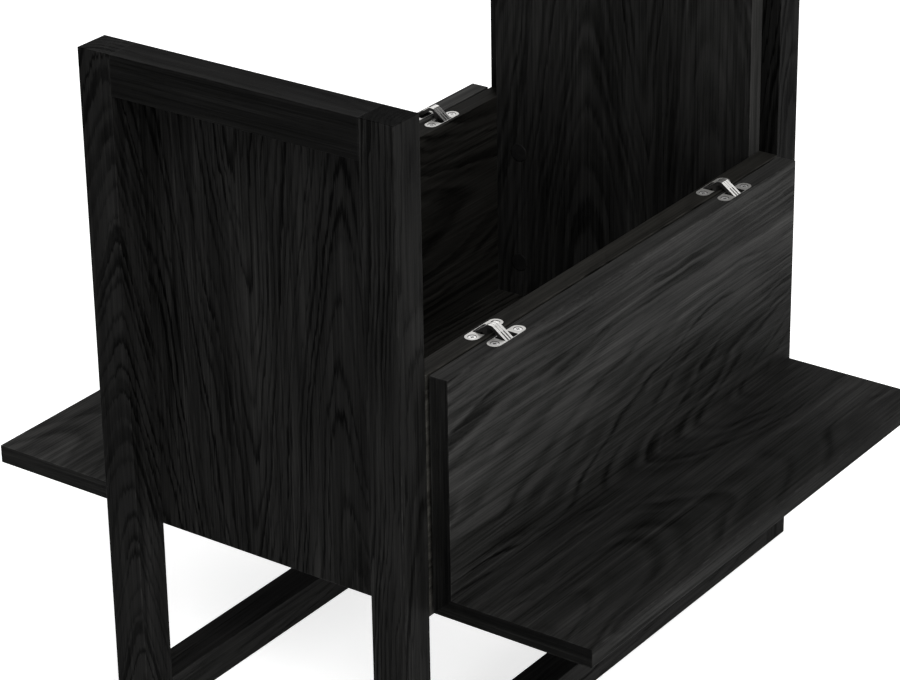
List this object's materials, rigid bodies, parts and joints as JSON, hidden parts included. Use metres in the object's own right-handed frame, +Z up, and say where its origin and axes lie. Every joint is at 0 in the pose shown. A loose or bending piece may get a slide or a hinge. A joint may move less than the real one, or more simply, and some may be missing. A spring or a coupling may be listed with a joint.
{
  "type": "flip lid storage table",
  "caption": "Tall narrow storage table with panelled end frames, an open box and L-shaped lids that fold out as wings on concealed hinges.",
  "frame": {"origin": "middle of the footprint, on the floor", "axes": "+Z up; X along the two hinge lines from end a (-X) to end b (+X); +Y towards the left lid"},
  "size_m": [0.583, 0.5972, 0.595],
  "materials": {
    "stained_oak": "near-black stained oak veneer and solid oak, low sheen, open grain",
    "plain_beech": "unfinished beech, for hidden joinery",
    "satin_nickel": "satin nickel plating",
    "hinge_steel": "plated steel",
    "zinc_alloy": "dull cast zinc",
    "dark_cap": "matt black moulded cap"
  },
  "bodies": {
    "frame_and_box": {"post_a_left": "stained_oak", "post_a_right": "stained_oak", "post_b_left": "stained_oak", "post_b_right": "stained_oak", "top_rail_a": "stained_oak", "top_rail_b": "stained_oak", "end_panel_a": "stained_oak", "end_panel_b": "stained_oak", "side_wall_left": "stained_oak", "side_wall_right": "stained_oak", "floor_runner_left": "stained_oak", "floor_runner_right": "stained_oak", "bottom_panel": "stained_oak", "rail_dowels": "plain_beech", "runner_dowels": "plain_beech", "panel_dowels": "plain_beech", "bottom_dowels": "plain_beech", "cam_locks": "zinc_alloy", "cam_bolts": "zinc_alloy", "cam_covers": "dark_cap", "hinge_pins": "hinge_steel", "wall_leaf_screws": "hinge_steel", "hinge_left_a_wall_leaf": "satin_nickel", "hinge_left_b_wall_leaf": "satin_nickel", "hinge_right_a_wall_leaf": "satin_nickel", "hinge_right_b_wall_leaf": "satin_nickel"},
    "left_lid": {"lid_left_side_panel": "stained_oak", "lid_left_top_board": "stained_oak", "lid_left_spline": "plain_beech", "lid_left_leaf_screws": "hinge_steel", "hinge_left_a_lid_leaf": "satin_nickel", "hinge_left_b_lid_leaf": "satin_nickel"},
    "right_lid": {"lid_right_side_panel": "stained_oak", "lid_right_top_board": "stained_oak", "lid_right_spline": "plain_beech", "lid_right_leaf_screws": "hinge_steel", "hinge_right_a_lid_leaf": "satin_nickel", "hinge_right_b_lid_leaf": "satin_nickel"},
    "left_links": {"hinge_left_a_link": "satin_nickel", "hinge_left_b_link": "satin_nickel"},
    "right_links": {"hinge_right_a_link": "satin_nickel", "hinge_right_b_link": "satin_nickel"}
  },
  "joints": [
    {"name": "left_lid_hinge", "type": "hinge", "parent": "frame_and_box", "child": "left_lid", "pos_m": [0, 0.1512, 0.38455], "axis": [1, 0, 0], "range_deg": [0, 180]},
    {"name": "right_lid_hinge", "type": "hinge", "parent": "frame_and_box", "child": "right_lid", "pos_m": [0, -0.1512, 0.38455], "axis": [-1, 0, 0], "range_deg": [0, 180]},
    {"name": "left_link_pivot", "type": "hinge", "parent": "frame_and_box", "child": "left_links", "pos_m": [0, 0.1461, 0.38245], "axis": [1, 0, 0], "range_deg": [0, 90]},
    {"name": "right_link_pivot", "type": "hinge", "parent": "frame_and_box", "child": "right_links", "pos_m": [0, -0.1461, 0.38245], "axis": [-1, 0, 0], "range_deg": [0, 90]}
  ],
  "couplings": [
    {"joint": "left_link_pivot", "follows": "left_lid_hinge", "ratio": 0.5},
    {"joint": "right_link_pivot", "follows": "right_lid_hinge", "ratio": 0.5}
  ]
}
